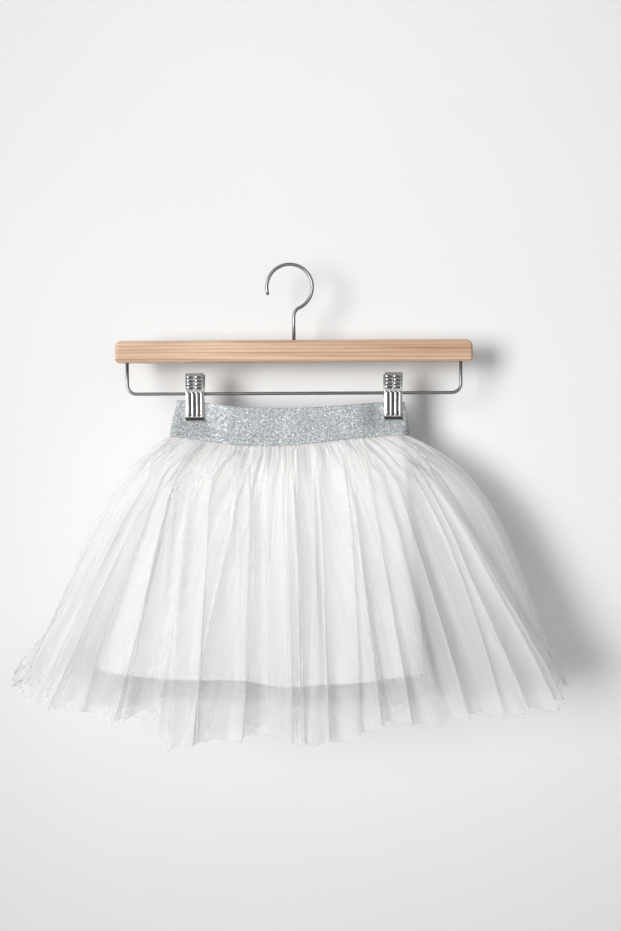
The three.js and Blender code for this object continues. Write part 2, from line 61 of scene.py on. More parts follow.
def lid(ring):
    """Quads across a flat ring of an even number of points: each joins two neighbours to the two across from them."""
    ring = np.asarray(ring)
    i = np.arange(len(ring) // 2 - 1)
    return np.stack([ring[i], ring[i + 1], ring[-2 - i], ring[-1 - i]], axis=-1)


def make_piece(name, points, faces, material, smooth=True, uv=None):
    """A mesh object from points in millimetres and faces of equal length; uv is one pair for each point."""
    points = np.asarray(points, dtype=float).reshape(-1, 3) * MM
    faces = np.asarray(faces)
    mesh = bpy.data.meshes.new(name)
    mesh.from_pydata(points, [], faces)
    mesh.polygons.foreach_set("use_smooth", np.full(len(faces), smooth))
    if uv is not None:
        layer = mesh.uv_layers.new(name="cloth")
        corner = np.empty(len(mesh.loops), dtype=np.int64)
        mesh.loops.foreach_get("vertex_index", corner)
        layer.data.foreach_set("uv", np.asarray(uv).reshape(-1, 2)[corner].ravel())
    mesh.materials.append(material)
    mesh.update()
    piece = bpy.data.objects.new(name, mesh)
    bpy.context.scene.collection.objects.link(piece)
    return piece


def ease(t):
    """A smooth step: 0 below 0, 1 above 1, and three t squared less two t cubed between."""
    t = np.clip(t, 0, 1)
    return t * t * (3 - 2 * t)


def mix(a, b, t):
    return a + (b - a) * t


def through(rows, x):
    """A smooth line through a table of (x, value) rows: cubic pieces that leave a row along its neighbours' slope."""
    rows = np.asarray(rows, dtype=float)
    at, value = rows[:, 0], rows[:, 1]
    slope = np.gradient(value, at)
    x = np.clip(x, at[0], at[-1])
    i = np.clip(np.searchsorted(at, x, side="right") - 1, 0, len(at) - 2)
    step = at[i + 1] - at[i]
    t = (x - at[i]) / step
    rise = mix(value[i], value[i + 1], ease(t))
    return rise + step * t * (1 - t) * (slope[i] * (1 - t) - slope[i + 1] * t)


def wander(u, knots, seed):
    """A smooth random line round a loop: random heights at evenly spaced knots, joined by smooth steps."""
    heights = np.random.default_rng(seed).uniform(-1, 1, knots)
    at = (u % 1) * knots
    i = np.floor(at).astype(int)
    return mix(heights[i % knots], heights[(i + 1) % knots], ease(at - i))


# ---- Materials -------------------------------------------------------------------------------------------------


class Nodes:
    """A material's node tree, with short calls that add a node and join it up."""

    def __init__(self, name):
        self.material = bpy.data.materials.new(name)
        self.material.use_nodes = True
        self.tree = self.material.node_tree
        self.surface = self.tree.nodes["Principled BSDF"]
        self.output = self.tree.nodes["Material Output"]

    def add(self, kind, inputs=None, **settings):
        made = self.tree.nodes.new(kind)
        for key, value in settings.items():
            setattr(made, key, value)
        for key, value in (inputs or {}).items():
            if isinstance(value, bpy.types.NodeSocket):
                self.tree.links.new(value, made.inputs[key])
            else:
                made.inputs[key].default_value = value
        return made

    def shade(self, **values):
        """Sets the surface's own sockets, by value or by link."""
        for key, value in values.items():
            socket = self.surface.inputs[key.replace("_", " ")]
            if isinstance(value, bpy.types.NodeSocket):
                self.tree.links.new(value, socket)
            else:
                socket.default_value = value
        return self.material

    def place(self, scale=(1, 1, 1), turn=(0, 0, 0), source="Object"):
        """Object or UV coordinates, scaled and turned."""
        coords = self.add("ShaderNodeTexCoord").outputs[source]
        return self.add("ShaderNodeMapping", {"Vector": coords, "Scale": scale, "Rotation": turn}).outputs["Vector"]

    def noise(self, vector, scale, detail=3.0, roughness=0.5):
        values = {"Vector": vector, "Scale": scale, "Detail": detail, "Roughness": roughness}
        return self.add("ShaderNodeTexNoise", values).outputs["Fac"]

    def math(self, operation, a, b=0.0, c=0.0):
        return self.add("ShaderNodeMath", {0: a, 1: b, 2: c}, operation=operation).outputs[0]

    def ramp(self, value, stops):
        made = self.add("ShaderNodeValToRGB", {"Fac": value})
        elements = made.color_ramp.elements
        while len(elements) < len(stops):
            elements.new(0.5)
        for element, (at, colour) in zip(elements, stops):
            element.position = at
            element.color = (*colour, 1.0) if len(colour) == 3 else colour
        return made.outputs["Color"]

    def bump(self, height, distance, strength=1.0, normal=None):
        inputs = {"Height": height, "Distance": distance, "Strength": strength}
        if normal is not None:
            inputs["Normal"] = normal
        return self.add("ShaderNodeBump", inputs).outputs["Normal"]


def grey(value):
    return (value, value, value)


def tulle_material(name, colour, cover, through_light):
    """Soft net: thin pale threads on a fine mesh, which show as a faint bump and a slight change of tone. The threads
    cover a share of the surface, less and less from the gathers to the hem, and pass on part of the light that falls
    on them from behind. Where the net is crushed lengthwise, streaks of it lie closer, and their colour is a little
    darker as painted shade of fine creases. The colour also darkens down the drop towards the hem, as painted shade."""
    n = Nodes(name)
    mesh_uv = n.place(source="UV")
    net = {"Vector": mesh_uv, "Scale": NET_SCALE}
    along = n.add("ShaderNodeTexWave", net, bands_direction="Y").outputs["Fac"]
    over = n.add("ShaderNodeTexWave", net, bands_direction="DIAGONAL").outputs["Fac"]
    threads = n.math("MAXIMUM", along, over)
    drop = n.math("MULTIPLY", n.add("ShaderNodeSeparateXYZ", {"Vector": mesh_uv}).outputs["Y"], -1000 / CLOTH_LENGTH)
    tone = n.noise(n.place(scale=(14, 14, 5)), 3.0, 1.0)
    pale = n.ramp(tone, [(0.3, tuple(c * 0.97 for c in colour)), (0.7, colour)])
    streaks = n.noise(n.place(scale=(110, 2.2, 1), source="UV"), 1.0, 1.6, 0.55)
    # crease_shade darkens the colour a little along the streaks: painted shade of fine creases.
    crease_shade = n.ramp(streaks, [(0.36, grey(0.945)), (0.56, grey(1.0))])
    pale = n.add("ShaderNodeMix", {0: 1.0, 6: pale, 7: crease_shade}, data_type="RGBA", blend_type="MULTIPLY").outputs[2]
    # painted_hem_shade darkens the colour down the drop to about four fifths at the hem: painted shade.
    painted_hem_shade = n.add("ShaderNodeMix", {0: drop, 6: (1, 1, 1, 1), 7: (0.82, 0.825, 0.832, 1)}, data_type="RGBA").outputs[2]
    pale = n.add("ShaderNodeMix", {0: 1.0, 6: pale, 7: painted_hem_shade}, data_type="RGBA", blend_type="MULTIPLY").outputs[2]
    normal = n.bump(threads, 0.0002, 0.15)
    n.shade(
        Base_Color=pale, Roughness=0.75, Sheen_Weight=0.3, Sheen_Roughness=0.5, Specular_IOR_Level=0.2, Normal=normal
    )
    glow = n.add("ShaderNodeBsdfTranslucent", {"Color": pale, "Normal": normal}).outputs[0]
    cloth = n.add("ShaderNodeMixShader", {0: through_light, 1: n.surface.outputs[0], 2: glow}).outputs[0]
    clear = n.add("ShaderNodeBsdfTransparent").outputs[0]
    thinning = n.math("MULTIPLY_ADD", drop, cover[1] - cover[0], cover[0])
    density = n.math("MULTIPLY", thinning, n.ramp(streaks, [(0.4, grey(1.22)), (0.64, grey(0.94))]))
    shown = n.add("ShaderNodeMixShader", {0: density, 1: clear, 2: cloth}).outputs[0]
    n.tree.links.new(shown, n.output.inputs["Surface"])
    return n.material


def lining_material():
    """Thin ivory jersey: a fine weave as bump, and a soft change of tone."""
    n = Nodes("ivory_jersey")
    weave = n.add("ShaderNodeTexWave", {"Vector": n.place(source="UV"), "Scale": 500.0, "Distortion": 0.6}).outputs[0]
    tone = n.noise(n.place(), 22.0, 3.0)
    pale = n.ramp(tone, [(0.3, (0.925, 0.92, 0.91)), (0.7, (0.955, 0.95, 0.942))])
    return n.shade(
        Base_Color=pale, Roughness=0.8, Sheen_Weight=0.25, Specular_IOR_Level=0.2, Normal=n.bump(weave, 0.0001, 0.3)
    )


def glitter_knit_material():
    """Silver knit: grey yarn in fine ribs with flecks of foil, which turn their own way and glint."""
    n = Nodes("silver_glitter_knit")
    place = n.place()
    cells = n.add("ShaderNodeTexVoronoi", {"Vector": place, "Scale": 1250.0})
    turned = n.add("ShaderNodeSeparateColor", {"Color": cells.outputs["Color"]})
    fleck = n.math("GREATER_THAN", turned.outputs[0], 0.76)
    speck = n.noise(place, 1000.0, 2.0, 0.75)
    cloud = n.noise(place, 55.0, 3.0)
    yarn = n.ramp(speck, [(0.38, (0.21, 0.229, 0.241)), (0.5, (0.352, 0.38, 0.393)), (0.62, (0.53, 0.566, 0.58))])
    foil = n.ramp(turned.outputs[2], [(0.0, (0.56, 0.59, 0.61)), (0.7, (0.72, 0.75, 0.77)), (1.0, (0.95, 0.96, 0.97))])
    colour = n.add("ShaderNodeMix", {0: fleck, 6: yarn, 7: foil}, data_type="RGBA").outputs[2]
    worn = n.ramp(cloud, [(0.35, grey(0.92)), (0.65, grey(1.0))])
    colour = n.add("ShaderNodeMix", {0: 1.0, 6: colour, 7: worn}, data_type="RGBA", blend_type="MULTIPLY").outputs[2]
    normal = n.bump(speck, 0.0002, 0.4, n.bump(turned.outputs[1], 0.0004, 0.7))
    rough = n.ramp(fleck, [(0.0, grey(0.85)), (1.0, grey(0.55))])
    return n.shade(Base_Color=colour, Metallic=n.math("MULTIPLY", fleck, 0.3), Roughness=rough, Normal=normal)


def thread_material():
    n = Nodes("grey_thread")
    twist = n.add("ShaderNodeTexWave", {"Vector": n.place(turn=(0, 0.7, 0.5)), "Scale": 900.0}).outputs[0]
    tone = n.ramp(twist, [(0.0, (0.5, 0.53, 0.54)), (1.0, (0.72, 0.75, 0.76))])
    return n.shade(Base_Color=tone, Roughness=0.6, Normal=n.bump(twist, 0.0001, 0.5))


def wood_material():
    """Pale lacquered wood: long slanting grain lines with redder streaks, fine pores and darker end grain."""
    n = Nodes("pale_lacquered_wood")
    lean = (0, 0.022, 0)
    broad = n.noise(n.place(scale=(1.6, 42, 30), turn=lean), 1.6, 3.0, 0.5)
    streaks = n.noise(n.place(scale=(3.0, 150, 130), turn=lean), 2.0, 5.0, 0.62)
    rings = {"Vector": n.place(scale=(0.5, 9, 17), turn=(0, 0.03, 0)), "Scale": 6.0, "Distortion": 7.0, "Detail": 3.0,
             "Detail Scale": 0.8}
    waves = n.add("ShaderNodeTexWave", rings, bands_direction="Z").outputs[0]
    pores = n.noise(n.place(scale=(40, 900, 900)), 2.0, 3.0, 0.7)
    base = n.ramp(broad, [(0.3, (0.49, 0.31, 0.197)), (0.5, (0.625, 0.43, 0.302)), (0.7, (0.715, 0.54, 0.41))])
    red = n.ramp(waves, [(0.0, (0.7, 0.56, 0.47)), (0.3, (1, 1, 1))])
    marks = n.ramp(streaks, [(0.34, (0.7, 0.58, 0.5)), (0.5, (1, 1, 1))])
    fine = n.ramp(pores, [(0.35, (0.86, 0.83, 0.8)), (0.5, (1, 1, 1))])
    colour = base
    for share, layer in ((0.7, red), (0.8, marks), (0.5, fine)):
        mixed = n.add("ShaderNodeMix", {0: share, 6: colour, 7: layer}, data_type="RGBA", blend_type="MULTIPLY")
        colour = mixed.outputs[2]
    rough = n.ramp(streaks, [(0.3, grey(0.5)), (0.7, grey(0.36))])
    return n.shade(Base_Color=colour, Roughness=rough, Coat_Weight=0.15, Normal=n.bump(pores, 0.0001, 0.35))


def metal_material(name, colour, rough, scratch_scale=(900, 900, 30)):
    """Plated metal: fine drawn scratches in its roughness and bump, and a slight cloudiness."""
    n = Nodes(name)
    scratches = n.noise(n.place(scale=scratch_scale), 1.0, 3.0, 0.6)
    cloud = n.noise(n.place(), 60.0, 3.0)
    tone = n.ramp(cloud, [(0.3, tuple(c * 0.86 for c in colour)), (0.7, colour)])
    roughness = n.ramp(scratches, [(0.25, grey(rough * 0.75)), (0.75, grey(min(1, rough * 1.4)))])
    return n.shade(Base_Color=tone, Metallic=1.0, Roughness=roughness, Normal=n.bump(scratches, 0.00005, 0.3))


TULLE_COLOUR = (0.985, 0.982, 0.975)
tulle_outer_finish = tulle_material("off_white_tulle", TULLE_COLOUR, (0.3, 0.29), 0.36)
tulle_inner_finish = tulle_material("off_white_tulle_under", TULLE_COLOUR, (0.195, 0.1), 0.36)
lining_finish = lining_material()
band_finish = glitter_knit_material()
thread_finish = thread_material()
wood_finish = wood_material()
wire_finish = metal_material("dull_steel_wire", (0.3, 0.3, 0.305), 0.34)
clip_finish = metal_material("nickel_plate", (0.62, 0.61, 0.6), 0.2)
# Near-black metal for the louvres' slots and the grooves between the clip's ribs: painted shade in the shallow slots
# and painted dark reflection in the grooves.
painted_shade_finish = metal_material("painted_slot_and_groove_shade", (0.07, 0.067, 0.065), 0.45)

# ---- The forms that the cloth shares, as in the part -----------------------------------------------------------

BAND_TOP_LINE = [(-114.5, -122.4), (-87, -125.6), (-50, -130.4), (-22, -131.4), (5, -131.5), (51, -129),
                 (80, -126.6), (105, -126.2)]
BAND_FOOT_LINE = [(-114.5, -155.4), (-87, -159.2), (-50, -163.8), (-22, -164.7), (5, -163.3), (51, -158.7),
                  (80, -156.2), (105, -155)]
BAND_WALL = 1.8
CLIP_X = (-91.0, 91.0)
PINCH = dict(depth=1.25, clear_of=10, reach=24, open_from=0.46, open_by=1.0, foot_depth=7.8)
TUCK = 0.15


def walk(x, y):
    """The polyline x, y as two functions of the share of its length."""
    walked = np.concatenate([[0], np.cumsum(np.hypot(np.diff(x), np.diff(y)))])
    return lambda share: (np.interp(share * walked[-1], walked, x), np.interp(share * walked[-1], walked, y))


def loop_at(half_x, front_y, back_y, share):
    """Points of a loop at shares of the way round: the front run goes from left to right and the back run comes home.
    Each run is walked at an even pace."""
    share = share % 1
    front, back = walk(half_x, front_y), walk(half_x, back_y)
    fx, fy = front(np.clip(2 * share, 0, 1))
    bx, by = back(np.clip(2 - 2 * share, 0, 1))
    ahead = share <= 0.5
    return np.where(ahead, fx, bx), np.where(ahead, fy, by)


def band_loop(down, inset, share):
    """The waistband's mid-wall at a share of its height, drawn in by inset: a flat tube with round ends, nipped at the
    clips. Half its depth eases from the nipped depth beside a clip to the free depth further in."""
    left, right = mix(-107, -114.5, down) + inset, mix(101, 105, down) - inset
    free = mix(7, 10.4, down)
    opened = ease((down - PINCH["open_from"]) / (PINCH["open_by"] - PINCH["open_from"]))
    nipped = mix(PINCH["depth"], PINCH["foot_depth"], opened)
    cap = nipped - inset
    angle = np.linspace(0, math.pi / 2, 12)
    x = np.concatenate([left + cap * (1 - np.cos(angle)), np.linspace(left + cap, right - cap, 400)[1:-1],
                        right - cap * (1 - np.cos(angle[::-1]))])
    inwards = np.minimum(x - CLIP_X[0], CLIP_X[1] - x)
    depth = mix(nipped, free, ease((inwards - PINCH["clear_of"]) / PINCH["reach"])) - inset
    depth[:12] = cap * np.sin(angle)
    depth[-12:] = cap * np.sin(angle[::-1])
    return loop_at(x, -depth, depth, share)


def hem_loop(left, right, front, back, power, share):
    """A squared oval between its four sides: its middle plus half its length times the cosine, and half its depth
    times the sine, each raised to 2 over the power."""
    angle = np.linspace(math.pi, 0, 1200)
    squared = lambda v: np.sign(v) * np.abs(v) ** (2 / power)
    x = (left + right) / 2 + (right - left) / 2 * squared(np.cos(angle))
    middle, half = (back - front) / 2, (front + back) / 2 * squared(np.sin(angle))
    return loop_at(x, middle - half, middle + half, share)


def outward_normal(x, y):
    """Unit vectors square to a closed loop, pointing out of it where it runs left to right along its front."""
    dx, dy = np.roll(x, -1) - np.roll(x, 1), np.roll(y, -1) - np.roll(y, 1)
    length = np.hypot(dx, dy)
    return dy / length, -dx / length, dx / length, dy / length


# ---- Tulle -----------------------------------------------------------------------------------------------------

FRONT_HEM = [(-252, -377), (-224, -390.5), (-178, -395), (-130, -397), (-125, -394), (-117, -411), (-80, -412),
             (-26, -411), (10, -413), (50, -410.5), (69, -404), (120, -400), (177, -397), (205, -393), (246, -379)]
BACK_HEM = [(-252, -377), (-215, -399), (-174, -406), (-120, -405), (-40, -410), (60, -409), (150, -403),
            (215, -395), (246, -379)]
TULLE_SHOULDER = dict(left=0.25, right=0.43, power=6.5)

# The front's tubes, from left to right: where the crest is at the seam and at the hem in millimetres, the tube's width
# at the hem, how far it stands out, how far it laps over its neighbour (to the right where positive), how much both its
# sides tuck in under it, and the share of the drop at which it begins.
OUTER_TUBES = [
    (-112, -238, 34, 5, 0, 0.6, 0.0), (-109, -203, 46, 11, -6, 1.1, 0.0), (-102, -158, 42, 14, 8, 1.2, 0.05),
    (-89, -127, 20, -9, 0, -0.5, 0.0), (-72, -76, 60, 20, -5, 1.4, 0.0), (-33, -31, 26, -10, 0, -0.6, 0.0),
    (-14, -8, 26, 10, 5, 1.0, 0.0), (5, 14, 24, 11, -5, 1.2, 0.0), (25, 36, 27, 17, -7, 1.4, 0.0),
    (46, 69, 46, 11, 6, 1.0, 0.05), (64, 104, 36, 15, -6, 1.3, 0.0), (78, 138, 38, 14, 9, 1.2, 0.0),
    (84, 158, 16, -8, 0, -0.5, 0.0), (88, 184, 40, 16, 10, 1.3, 0.0), (97, 218, 38, 12, 6, 1.1, 0.0),
]
MIDDLE_TUBES = [
    (-111, -222, 48, 7, 6, 0.5, 0.0), (-104, -178, 44, 10, -8, 0.6, 0.0), (-92, -136, 48, 11, 10, 0.6, 0.0),
    (-78, -98, 30, 8, -6, 0.5, 0.1), (-52, -56, 56, 13, 6, 0.9, 0.0), (-22, -10, 38, 9, -8, 0.6, 0.0),
    (8, 24, 34, 11, 6, 0.8, 0.0), (34, 56, 40, 10, -8, 0.6, 0.05), (58, 98, 46, 12, 8, 0.8, 0.0),
    (78, 142, 44, 10, -8, 0.6, 0.0), (93, 186, 46, 11, 10, 0.7, 0.0), (101, 222, 36, 7, 6, 0.5, 0.0),
]
INNER_TUBES = [
    (-109, -200, 50, 7, -6, 0.5, 0.0), (-98, -152, 48, 10, 8, 0.7, 0.0), (-78, -106, 46, 9, -6, 0.6, 0.0),
    (-52, -64, 42, 11, 8, 0.8, 0.0), (-24, -24, 44, 9, -6, 0.6, 0.0), (4, 18, 42, 11, 6, 0.8, 0.0),
    (36, 62, 46, 10, -8, 0.6, 0.0), (64, 108, 48, 10, 8, 0.8, 0.0), (88, 160, 50, 9, 8, 0.7, 0.0),
    (100, 204, 40, 6, 6, 0.5, 0.0),
]
# Narrow folds that stand up between the tubes and catch the light from end to end: the crest at the seam and at the
# hem, the width at the hem, the height, how far it leans, and how far its end hangs below the hem.
OUTER_FOLDS = [
    (-113, -222, 13, 6, -3, 3), (-108, -182, 11, 7, 4, 2), (-99, -137, 12, 8, -5, 6), (-88, -105, 10, 9, -4, 0),
    (-47, -66, 9, 6, -3, 3), (-42, -46, 8, 8, 4, 2), (-6, -12, 9, 4, 3, 1), (9, 5, 9, 6, -3, 4), (19, 23, 8, 8, -3, 5),
    (41, 48, 9, 7, 4, 2), (51, 74, 11, 5, -3, 3), (70, 120, 11, 7, 4, 2), (87, 166, 13, 11, 6, 4),
    (90, 190, 11, 8, 5, 3), (96, 208, 13, 12, 6, 5), (101, 228, 12, 9, 5, 6), (106, 240, 11, 6, 4, 4),
]
MIDDLE_FOLDS = [
    (-112, -232, 12, 5, 3, 5), (-105, -196, 11, 7, -4, 4), (-98, -150, 12, 7, 5, 5), (-84, -112, 10, 8, -4, 4),
    (-60, -82, 10, 5, 3, 3), (-34, -30, 9, 7, -4, 3), (-4, 4, 10, 6, 3, 3), (16, 40, 10, 6, -4, 4),
    (44, 76, 11, 7, 4, 3), (68, 122, 12, 8, 5, 4), (86, 168, 11, 8, 5, 5), (98, 208, 12, 8, 5, 5),
]
INNER_FOLDS = [
    (-106, -180, 12, 6, -4, 4), (-90, -128, 11, 7, 4, 4), (-62, -84, 11, 6, -4, 3), (-38, -42, 10, 7, 4, 3),
    (-8, -4, 10, 6, -3, 4), (18, 42, 11, 7, 4, 3), (52, 88, 11, 6, -4, 4), (80, 134, 12, 8, 5, 4),
    (96, 186, 12, 7, 4, 4),
]
ROUND, DOWN = 2400, 41
TABLE_SPAN = 498  # the hem's width that the tables' places are for
BACK_LIMIT = 42  # how far back a layer may stand, short of the wall
SNIPS = 70


def pleat_bump(away, width, power):
    """A bump one pleat wide: a half plus half a cosine, raised to a power, which flattens its top below 1 and peaks it
    above 1."""
    u = np.clip(away / width, -0.5, 0.5)
    return (0.5 * (1 + np.cos(2 * math.pi * u))) ** power, u


def tulle_sheet(name, loop, rise, order, seed, tubes, folds, material):
    """One gathered layer. A point is worked out from its share round the band and its share of the drop: it starts
    on the band's loop and goes out to the hem's, part of the way in a quick curve under the band and the rest in a
    straight line. Out of that it stands by the sum of its pleats. Each pleat is a smooth bump across the cloth which
    grows down it; the cloth is carried aside with the bump's height, so that it laps over its neighbour, and drawn in
    from both sides by a sine, so that the trough tucks in under the crest."""
    rng = np.random.default_rng(seed)
    share = np.arange(ROUND) / ROUND
    down = np.concatenate([[0], np.linspace(0, 1, DOWN - 1) ** 1.35])
    inset = BAND_WALL / 2 + 0.6 + order * 0.9
    sx, sy = band_loop(1, inset, share)
    tx, ty = band_loop(1 - TUCK, inset, share)
    hx, hy = hem_loop(*loop, 2.5, share)
    nx, ny, ax, ay = outward_normal(hx, hy)
    front = share < 0.5
    span = loop[1] - loop[0]
    perimeter = np.hypot(np.diff(hx), np.diff(hy)).sum()
    d = down[:, None]

    across = (hx - loop[0]) / span
    shoulder = mix(TULLE_SHOULDER["left"], TULLE_SHOULDER["right"], across) * mix(0.3, 1, np.abs(2 * across - 1) ** 2)
    out = mix(d, 1 - (1 - d) ** TULLE_SHOULDER["power"], shoulder)
    spread_x = mix(sx, hx, out)

    def straight(seam_x, hem_x, behind=False):
        """The share round each row at which the cloth's x lies on a straight line from the seam to the hem."""
        run = spread_x[:, ::-1][:, : ROUND // 2] if behind else spread_x[:, front]
        x = mix(seam_x, hem_x, down)
        i = np.clip((run < x[:, None]).sum(axis=1), 1, run.shape[1] - 1)
        before, after = run[np.arange(DOWN), i - 1], run[np.arange(DOWN), i]
        at = ((i - 1 + np.clip((x - before) / (after - before), 0, 1)) / ROUND)[:, None]
        return 1 - at if behind else at

    rows = [(straight(a, b * span / TABLE_SPAN), *rest) for a, b, *rest in tubes]
    ridges = [(straight(a, b * span / TABLE_SPAN), *rest) for a, b, *rest in folds]
    walked = 0.5
    while walked < 0.985:
        width = rng.uniform(26, 54)
        for at, kind in ((walked + width / perimeter / 2, rows), (walked + width / perimeter, ridges)):
            i = min(int(at * ROUND), ROUND - 1)
            crest = straight(sx[i] + rng.uniform(-5, 5), hx[i], behind=True)
            turned = rng.choice([-1, 1])
            if kind is rows:
                rows.append((crest, width, rng.uniform(6, 11), turned * rng.uniform(3, 9), rng.uniform(0.7, 1.3),
                             rng.uniform(0, 0.1)))
            else:
                ridges.append((crest, rng.uniform(9, 13), rng.uniform(4, 8), turned * rng.uniform(2, 5),
                               rng.uniform(0, 5)))
        walked += width / perimeter

    height, aside, tuck = (np.zeros((DOWN, ROUND)) for _ in range(3))
    tip = np.zeros(ROUND)
    for crest, width, depth, lap, tucked, begins in rows:
        away = (share - crest + 0.5) % 1 - 0.5
        bump, u = pleat_bump(away, width * 1.06 / perimeter, 0.75)
        grown = (1 - 0.12 * order) * np.clip((d - begins) / (1 - begins), 0, 1) ** 0.6
        height += depth * grown * bump
        aside += lap * grown * bump
        tuck -= tucked * width / (2 * math.pi) * grown * np.sin(2 * math.pi * u)
    for crest, width, depth, lean, hangs in ridges:
        away = (share - crest + 0.5) % 1 - 0.5
        bump, u = pleat_bump(away, width / perimeter, 1.25)
        grown = np.clip(d / 0.35, 0, 1) ** 0.8 * (1 - 0.15 * order)
        height += depth * grown * bump
        aside += lean * grown * bump
        tuck -= 0.6 * width / (2 * math.pi) * grown * np.sin(2 * math.pi * u)
        tip += 0.6 * hangs * bump[-1]

    # Gathers at the seam, and the narrower pleats that run on from some of them.
    for count, deep, reach, onward in ((170, 2.9, 0.13, 0.0), (104, 4.4, 0.24, 0.0), (52, 4.4, 0.5, 0.1)):
        for i in range(count):
            centre = (i + rng.uniform(-0.45, 0.45)) / count
            drift = rng.normal(0, 0.003)
            width = rng.uniform(0.6, 1.6) * 1.15 / count
            length = reach * rng.uniform(0.5, 1.5)
            away = (share - centre - drift * d + 0.5) % 1 - 0.5
            bump, u = pleat_bump(away, width, 0.9)
            size = rng.uniform(0.35, 1.2) * mix(1, onward, ease(d / length)) * ease(d / 0.05 + 0.35)
            height += deep * size * bump
            aside += rng.uniform(-1.2, 1.2) * deep * size * bump
    height -= height.mean(axis=1, keepdims=True)

    x = mix(sx, hx, out) + nx * height + ax * (aside + tuck)
    y = mix(sy, hy, out) + ny * height + ay * (aside + tuck)
    y = np.minimum(y, BACK_LIMIT - 1.5 * order)
    seam = through(BAND_FOOT_LINE, sx) - 0.7 * (order + 1)
    foot = np.where(front, through(FRONT_HEM, hx * TABLE_SPAN / span), through(BACK_HEM, hx * TABLE_SPAN / span)) + rise
    # The raw hem: straight snips between corners that lie unevenly, and a few threads that hang on.
    corners = np.sort(rng.uniform(0, 1, SNIPS))
    snips = np.interp(share, corners, rng.uniform(-5, 5, SNIPS), period=1)
    fray = 0.8 * wander(share, 560, seed + 2)
    z = mix(seam, foot + snips - tip + fray, d)
    x[0], y[0] = tx, ty
    z[0] = mix(through(BAND_TOP_LINE, tx), through(BAND_FOOT_LINE, tx), 1 - TUCK)
    points = np.stack([x, y, z], axis=-1)
    hem_run = np.hypot(np.roll(x[-1], -1) - x[-1], np.roll(y[-1], -1) - y[-1]).sum()
    u = share[None, :] * hem_run * MM * np.ones((DOWN, 1))
    v = -down[:, None] * CLOTH_LENGTH * MM * np.ones((1, ROUND))
    piece = make_piece(name, points, grid_faces(DOWN, ROUND, True), material, uv=np.stack([u, v], axis=-1))
    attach(piece, "root")
    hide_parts(name.replace("_net", ""))
    return piece


tulle_sheet("tulle_outer_net", (-252, 246, 97, 38), 0, 0, RNG_SEED, OUTER_TUBES, OUTER_FOLDS, tulle_outer_finish)
tulle_sheet("tulle_middle_net", (-237, 231.5, 83, 30.2), 3, 1, RNG_SEED + 20, MIDDLE_TUBES, MIDDLE_FOLDS,
            tulle_inner_finish)
tulle_sheet("tulle_inner_net", (-220, 215, 69, 23.2), 7, 2, RNG_SEED + 40, INNER_TUBES, INNER_FOLDS,
            tulle_inner_finish)

# ---- Lining ----------------------------------------------------------------------------------------------------

LINING_ROUND, LINING_DOWN = 600, 90
LINING_DROP = 215  # from the seam to the hem
LINING_LOOP = (-181, 118, 44, 15)
LINING_FRONT_HEM = [(-182, -365), (-130, -371), (-41, -374), (-4, -379), (23, -377.5), (69, -374.7), (119, -371)]
LINING_BACK_HEM = [(-182, -365), (-90, -374), (40, -377), (119, -371)]
LINING_FOLDS = [(0.06, 0.1, 2.5), (0.16, 0.12, 4.5), (0.27, 0.13, 4), (0.385, 0.12, 4.5), (0.46, 0.08, 2.5),
                (0.6, 0.14, 2), (0.74, 0.15, 2.5), (0.88, 0.14, 2)]


def lining():
    """The slip: as a tulle layer, but smooth and A-line, with a narrow turned hem that stands a little proud."""
    round_, down_ = LINING_ROUND, LINING_DOWN
    share = np.arange(round_) / round_
    down = np.concatenate([[0], np.linspace(0, 1, down_ - 1)])
    inset = 6.0
    sx, sy = band_loop(1, inset, share)
    tx, ty = band_loop(1 - TUCK, inset, share)
    hx, hy = hem_loop(*LINING_LOOP, 2.6, share)
    nx, ny, _, _ = outward_normal(hx, hy)
    height = np.zeros((down_, round_))
    for crest, width, depth in LINING_FOLDS:
        away = (share - crest + 0.5) % 1 - 0.5
        bump = np.where(np.abs(away) < width / 2, 0.5 * (1 + np.cos(2 * math.pi * away / width)), 0)
        height += depth * ease(down * 0.95 + 0.05)[:, None] * bump
    gathers = 0.35 * wander(share, 130, 3) * (1 - ease(down / 0.25))[:, None]
    across = (hx - LINING_LOOP[0]) / (LINING_LOOP[1] - LINING_LOOP[0])
    out = mix(down[:, None], 1 - (1 - down[:, None]) ** 5, mix(0.12, 0.08, across))
    seam = through(BAND_FOOT_LINE, sx) - 2.8
    foot = np.where(share < 0.5, through(LINING_FRONT_HEM, hx), through(LINING_BACK_HEM, hx))
    x, y, z = mix(sx, hx, out), mix(sy, hy, out), mix(seam, foot, down[:, None])
    from_hem = (1 - down[:, None]) * LINING_DROP
    turned = 0.35 * (1 - ease((from_hem - 7) / 1.2)) - 0.3 * np.exp(-(((from_hem - 7.6) / 1.0) ** 2))
    x, y = x + nx * (height + gathers + turned), y + ny * (height + gathers + turned)
    x[0], y[0] = tx, ty
    z[0] = mix(through(BAND_TOP_LINE, tx), through(BAND_FOOT_LINE, tx), 1 - TUCK)
    points = np.stack([x, y, z], axis=-1)
    hem_run = np.linalg.norm(np.roll(points[-1], -1, axis=0) - points[-1], axis=1).sum()
    u = share[None, :] * hem_run * MM * np.ones((down_, 1))
    v = -down[:, None] * 0.22 * np.ones((1, round_))
    piece = make_piece("lining_slip", points, grid_faces(down_, round_, True), lining_finish, uv=np.stack([u, v], -1))
    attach(piece, "root")
    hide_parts("lining")


lining()

# ---- Waistband -------------------------------------------------------------------------------------------------

BAND_ROUND, BAND_DOWN = 720, 44
STITCH_DOWN = 0.84


